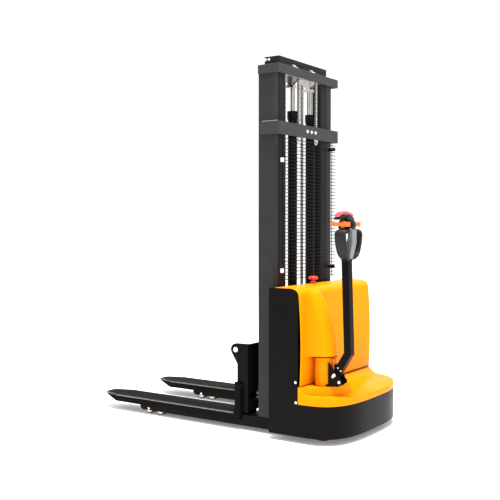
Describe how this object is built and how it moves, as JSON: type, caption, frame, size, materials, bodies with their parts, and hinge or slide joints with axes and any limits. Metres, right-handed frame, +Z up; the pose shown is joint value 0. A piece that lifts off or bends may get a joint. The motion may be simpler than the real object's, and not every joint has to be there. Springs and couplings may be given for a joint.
{
  "type": "walkie stacker",
  "caption": "Pedestrian-operated electric stacker: two-stage mast with chains and lift cylinders, straddle legs, tapered forks, yellow covers and an offset steering tiller.",
  "frame": {"origin": "on the floor, under the middle of the truck's bounding box", "axes": "+X towards the fork tips, +Y to the truck's left, +Z up"},
  "size_m": [1.75, 0.846, 2.1],
  "materials": {
    "mast_paint": "charcoal grey powder coat, satin",
    "chassis_paint": "near-black powder coat, satin",
    "yellow_cover": "orange-yellow moulded covers, semi-gloss",
    "steel": "bright zinc-plated or ground steel",
    "cast_iron": "dark as-cast housings",
    "polyurethane": "dark red-brown polyurethane tread",
    "black_plastic": "black moulded plastic",
    "grey_plastic": "dark grey moulded plastic, fine grain",
    "orange_plastic": "orange moulded plastic",
    "red_plastic": "red moulded plastic"
  },
  "bodies": {
    "chassis": {"chassis_frame": "chassis_paint", "leg_left": "chassis_paint", "leg_right": "chassis_paint", "side_panel_left": "chassis_paint", "side_panel_right": "chassis_paint", "bumper_skirt": "chassis_paint", "drive_cover": "yellow_cover", "hood": "yellow_cover", "battery": "black_plastic", "hydraulic_tank": "cast_iron", "pump_motor": "cast_iron", "motor_controller": "steel", "estop_base": "red_plastic", "outer_rail_left": "mast_paint", "outer_rail_right": "mast_paint", "top_collar": "mast_paint", "mid_collar": "mast_paint", "lift_cylinder_left": "chassis_paint", "lift_cylinder_right": "chassis_paint", "mesh_guard": "chassis_paint", "slewing_ring": "cast_iron", "chain_rear_left": "steel", "chain_rear_right": "steel"},
    "inner_mast": {"inner_mast_frame": "mast_paint", "piston_rod_left": "steel", "piston_rod_right": "steel", "pulley_shaft": "steel", "chain_front_left": "steel", "chain_front_right": "steel"},
    "carriage": {"carriage_frame": "chassis_paint", "tie_bar": "steel", "fork_left": "chassis_paint", "fork_right": "chassis_paint"},
    "drive_unit": {"gearbox": "cast_iron", "drive_motor": "cast_iron", "column_cover": "yellow_cover", "tiller_bracket": "chassis_paint", "tiller_pivot_pin": "steel", "tiller_buffer": "orange_plastic"},
    "drive_wheel": {"drive_hub": "cast_iron", "drive_tyre": "polyurethane"},
    "tiller": {"tiller_arm": "chassis_paint", "head_shell": "grey_plastic"},
    "thumb_switch": {"thumb_switch": "orange_plastic"},
    "belly_button": {"belly_button": "red_plastic"},
    "lift_button": {"lift_button": "black_plastic"},
    "lower_button": {"lower_button": "black_plastic"},
    "estop_button": {"estop_button": "red_plastic"},
    "caster_fork": {"caster_fork": "steel"},
    "caster_wheel": {"caster_wheel": "polyurethane"},
    "chain_pulley_left": {"chain_pulley_left": "steel"},
    "chain_pulley_right": {"chain_pulley_right": "steel"},
    "mast_roller_left": {"mast_roller_left": "steel"},
    "mast_roller_right": {"mast_roller_right": "steel"},
    "carriage_roller_left": {"carriage_roller_left": "steel"},
    "carriage_roller_right": {"carriage_roller_right": "steel"},
    "load_roller_left_rear": {"load_roller_left_rear": "polyurethane"},
    "load_roller_left_front": {"load_roller_left_front": "polyurethane"},
    "load_roller_right_rear": {"load_roller_right_rear": "polyurethane"},
    "load_roller_right_front": {"load_roller_right_front": "polyurethane"}
  },
  "joints": [
    {"name": "mast_lift", "type": "slide", "parent": "chassis", "child": "inner_mast", "axis": [0, 0, 1], "range_m": [0, 1.46], "deforming": ["chain_rear_left", "chain_rear_right"]},
    {"name": "carriage_lift", "type": "slide", "parent": "inner_mast", "child": "carriage", "axis": [0, 0, 1], "range_m": [0, 1.46], "deforming": ["chain_front_left", "chain_front_right"]},
    {"name": "steering", "type": "hinge", "parent": "chassis", "child": "drive_unit", "pos_m": [-0.6953, 0.273, 0.232], "axis": [0, 0, 1], "range_deg": [-90, 90]},
    {"name": "tiller_tilt", "type": "hinge", "parent": "drive_unit", "child": "tiller", "pos_m": [-0.7683, 0.273, 0.356], "axis": [0, -1, 0], "range_deg": [0, 75], "stiffness_Nm_per_rad": 20, "springref_deg": -34.38},
    {"name": "drive_wheel_spin", "type": "hinge", "parent": "drive_unit", "child": "drive_wheel", "pos_m": [-0.6953, 0.273, 0.105], "axis": [0, 1, 0], "continuous": true},
    {"name": "load_roller_left_rear_spin", "type": "hinge", "parent": "chassis", "child": "load_roller_left_rear", "pos_m": [0.4217, 0.2663, 0.037], "axis": [0, 1, 0], "continuous": true},
    {"name": "load_roller_left_front_spin", "type": "hinge", "parent": "chassis", "child": "load_roller_left_front", "pos_m": [0.5097, 0.2663, 0.037], "axis": [0, 1, 0], "continuous": true},
    {"name": "load_roller_right_rear_spin", "type": "hinge", "parent": "chassis", "child": "load_roller_right_rear", "pos_m": [0.4217, -0.2663, 0.037], "axis": [0, 1, 0], "continuous": true},
    {"name": "load_roller_right_front_spin", "type": "hinge", "parent": "chassis", "child": "load_roller_right_front", "pos_m": [0.5097, -0.2663, 0.037], "axis": [0, 1, 0], "continuous": true},
    {"name": "caster_swivel", "type": "hinge", "parent": "chassis", "child": "caster_fork", "pos_m": [-0.6953, -0.273, 0.15], "axis": [0, 0, 1], "continuous": true},
    {"name": "caster_wheel_spin", "type": "hinge", "parent": "caster_fork", "child": "caster_wheel", "pos_m": [-0.7253, -0.273, 0.05], "axis": [0, 1, 0], "continuous": true},
    {"name": "chain_pulley_left_spin", "type": "hinge", "parent": "inner_mast", "child": "chain_pulley_left", "pos_m": [-0.3833, 0.101, 2.02], "axis": [0, 1, 0], "continuous": true},
    {"name": "chain_pulley_right_spin", "type": "hinge", "parent": "inner_mast", "child": "chain_pulley_right", "pos_m": [-0.3833, -0.101, 2.02], "axis": [0, 1, 0], "continuous": true},
    {"name": "mast_roller_left_spin", "type": "hinge", "parent": "inner_mast", "child": "mast_roller_left", "pos_m": [-0.3578, 0.3, 0.15], "axis": [0, 1, 0], "continuous": true},
    {"name": "mast_roller_right_spin", "type": "hinge", "parent": "inner_mast", "child": "mast_roller_right", "pos_m": [-0.3578, -0.3, 0.15], "axis": [0, 1, 0], "continuous": true},
    {"name": "carriage_roller_left_spin", "type": "hinge", "parent": "carriage", "child": "carriage_roller_left", "pos_m": [-0.3578, 0.232, 0.41], "axis": [0, 1, 0], "continuous": true},
    {"name": "carriage_roller_right_spin", "type": "hinge", "parent": "carriage", "child": "carriage_roller_right", "pos_m": [-0.3578, -0.232, 0.41], "axis": [0, 1, 0], "continuous": true},
    {"name": "thumb_switch_turn", "type": "hinge", "parent": "tiller", "child": "thumb_switch", "pos_m": [-0.8223, 0.273, 1.166], "axis": [0, 1, 0], "range_deg": [-18, 18], "stiffness_Nm_per_rad": 0.6},
    {"name": "belly_button_press", "type": "slide", "parent": "tiller", "child": "belly_button", "axis": [0, 0, -1], "range_m": [0, 0.0035], "stiffness_N_per_m": 900, "springref_m": -0.006},
    {"name": "lift_button_press", "type": "slide", "parent": "tiller", "child": "lift_button", "axis": [-1, 0, 0], "range_m": [0, 0.0035], "stiffness_N_per_m": 400, "springref_m": -0.003},
    {"name": "lower_button_press", "type": "slide", "parent": "tiller", "child": "lower_button", "axis": [-1, 0, 0], "range_m": [0, 0.0035], "stiffness_N_per_m": 400, "springref_m": -0.003},
    {"name": "estop_press", "type": "slide", "parent": "chassis", "child": "estop_button", "axis": [0, 0, -1], "range_m": [0, 0.006]}
  ],
  "couplings": [
    {"joint": "carriage_lift", "follows": "mast_lift", "ratio": 1},
    {"joint": "chain_pulley_left_spin", "follows": "mast_lift", "rad_per_m": -20.833},
    {"joint": "chain_pulley_right_spin", "follows": "mast_lift", "rad_per_m": -20.833},
    {"joint": "mast_roller_left_spin", "follows": "mast_lift", "rad_per_m": -27.027},
    {"joint": "mast_roller_right_spin", "follows": "mast_lift", "rad_per_m": -27.027},
    {"joint": "carriage_roller_left_spin", "follows": "mast_lift", "rad_per_m": 28.169},
    {"joint": "carriage_roller_right_spin", "follows": "mast_lift", "rad_per_m": 28.169}
  ]
}
